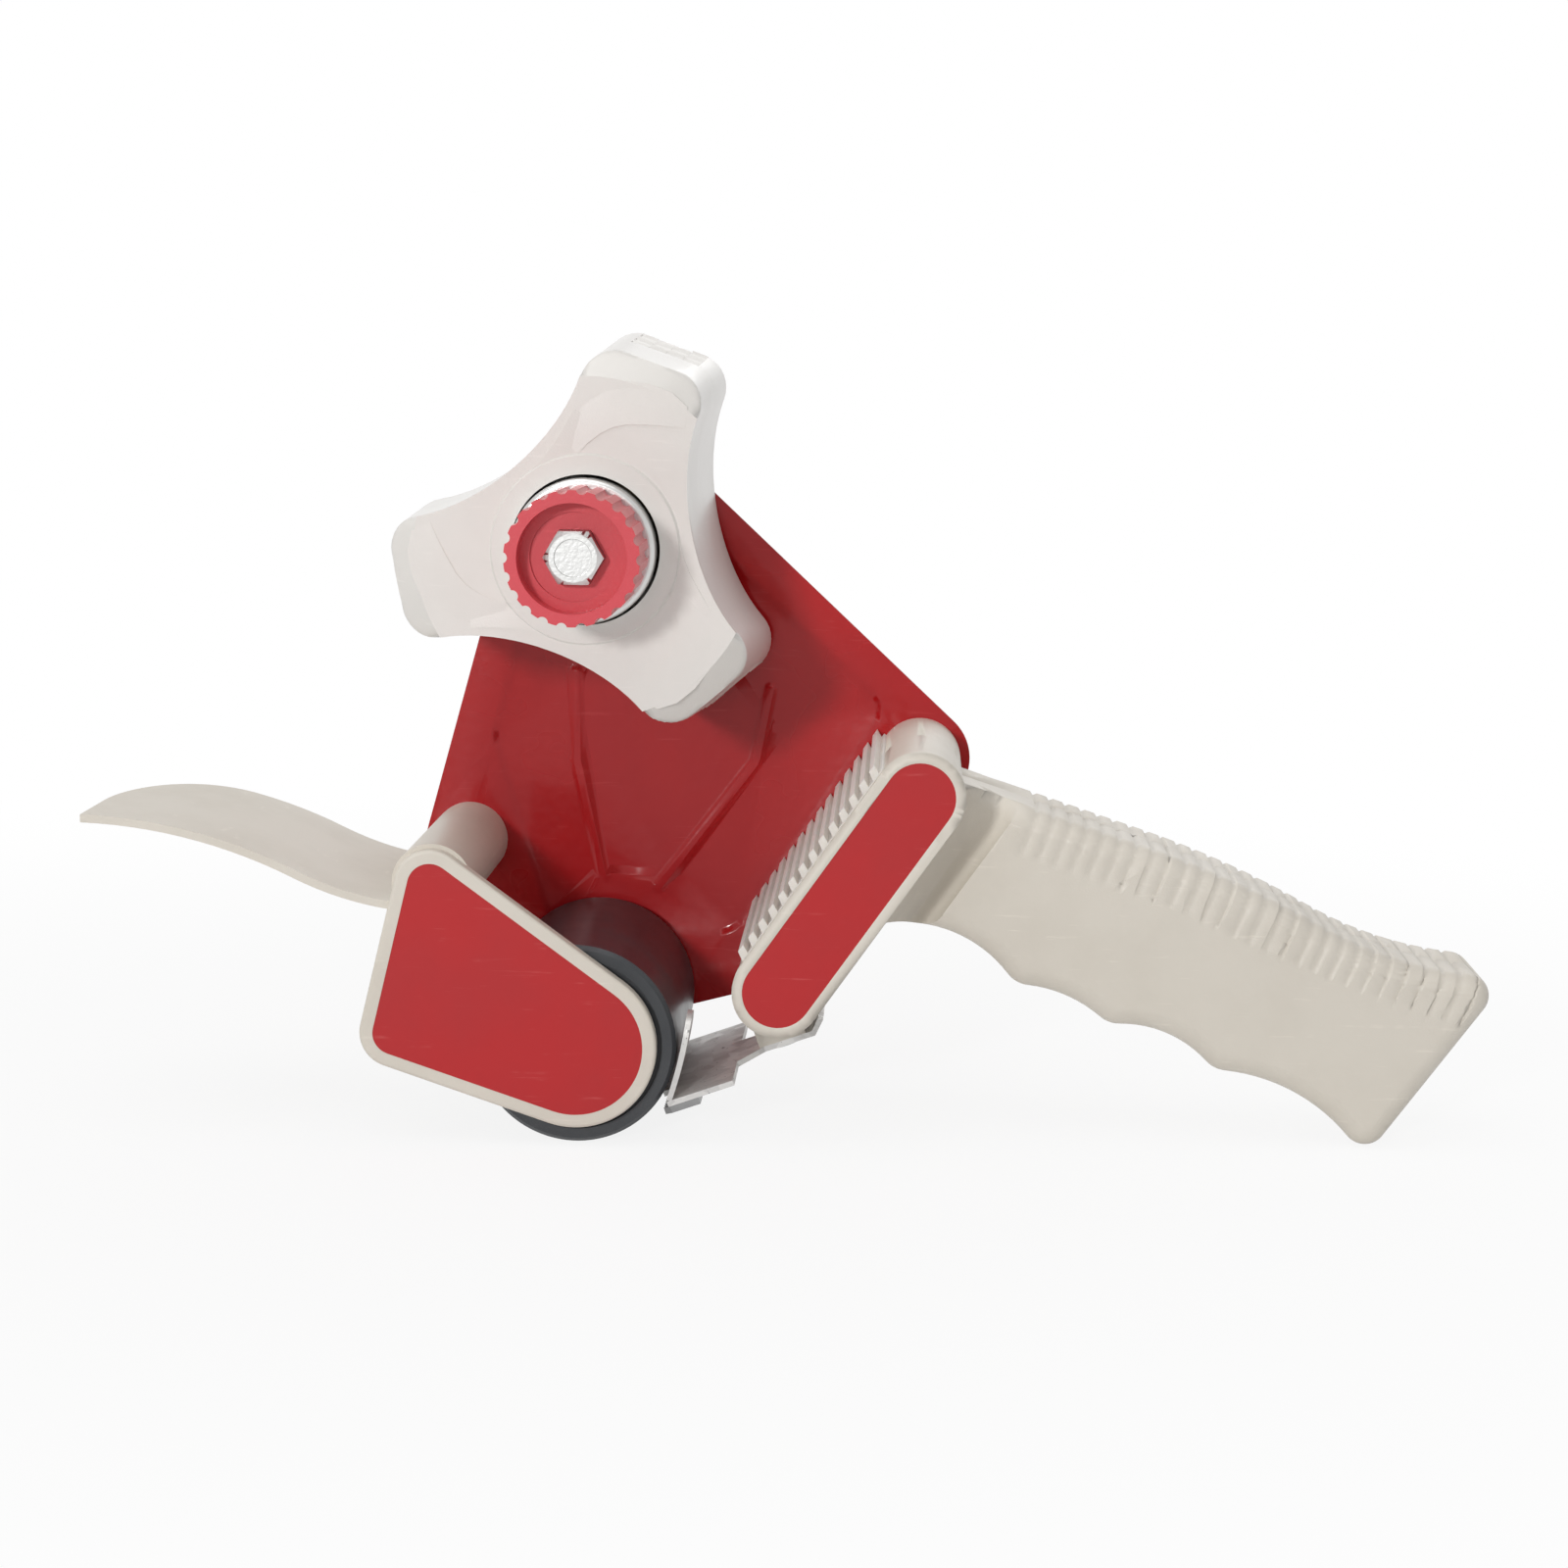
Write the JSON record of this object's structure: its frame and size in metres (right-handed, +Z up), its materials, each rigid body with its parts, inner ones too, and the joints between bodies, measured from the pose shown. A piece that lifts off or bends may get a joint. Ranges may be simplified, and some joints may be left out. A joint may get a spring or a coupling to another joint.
{
  "type": "packing tape dispenser",
  "caption": "Hand-held packing tape dispenser: a steel side plate carries a lobed tape hub with a drag knob, a rubber roller, a toothed blade, a leaf tongue and a scalloped pistol grip.",
  "frame": {"origin": "on the tape hub's axis, at the middle of the tape's width", "axes": "+X from the hub towards the handle's butt, +Y from the open side towards the steel side plate, +Z up with the tool standing on its roller and the butt of its handle"},
  "size_m": [0.2803, 0.0822, 0.1598],
  "materials": {
    "red_enamel": "gloss enamel, deep red",
    "red_panel": "satin, bright red",
    "pale_plastic": "fine moulded texture, ivory",
    "white_plastic": "satin, warm white",
    "clear_plastic": "milky, slightly clear",
    "red_knob_plastic": "satin, light red",
    "black_rubber": "satin, moulded",
    "black_plastic": "moulded",
    "zinc_steel": "bright zinc plate",
    "galvanised_sheet": "dull galvanised",
    "blade_steel": "dark ground steel",
    "spring_steel": "drawn wire",
    "fibre_disc": "pressed fibre"
  },
  "bodies": {
    "frame": {"side_frame": "red_enamel", "hub_nut": "zinc_steel", "hub_bush": "zinc_steel", "rear_friction_disc": "fibre_disc", "tension_spring": "spring_steel", "front_bracket": "pale_plastic", "front_panel": "red_panel", "roller_axle": "zinc_steel", "handle_near_half": "pale_plastic", "handle_far_half": "pale_plastic", "rear_panel": "red_panel", "comb_strip": "clear_plastic", "guide_plate": "galvanised_sheet", "blade": "blade_steel", "blade_rivets": "zinc_steel", "frame_screws": "zinc_steel", "handle_screws": "zinc_steel", "guide_screw": "zinc_steel"},
    "hub": {"core_hub": "white_plastic", "front_friction_disc": "fibre_disc"},
    "roller": {"roller_tyre": "black_rubber", "roller_core": "black_plastic"},
    "cup": {"spring_cup": "zinc_steel"},
    "knob": {"tension_knob": "red_knob_plastic", "hub_bolt": "zinc_steel"}
  },
  "joints": [
    {"name": "hub_spin", "type": "hinge", "parent": "frame", "child": "hub", "pos_m": [0, 0, 0], "axis": [0, 1, 0], "continuous": true},
    {"name": "roller_spin", "type": "hinge", "parent": "frame", "child": "roller", "pos_m": [-0.0013, 0, -0.0983], "axis": [0, 1, 0], "continuous": true},
    {"name": "knob_travel", "type": "slide", "parent": "frame", "child": "cup", "axis": [0, 1, 0], "range_m": [-0.001, 0.001], "deforming": ["tension_spring"]},
    {"name": "knob_turn", "type": "hinge", "parent": "cup", "child": "knob", "pos_m": [0, -0.038, 0], "axis": [0, 1, 0], "range_deg": [-360, 360]}
  ],
  "couplings": [
    {"joint": "knob_travel", "follows": "knob_turn", "m_per_rad": 0.00015915}
  ]
}
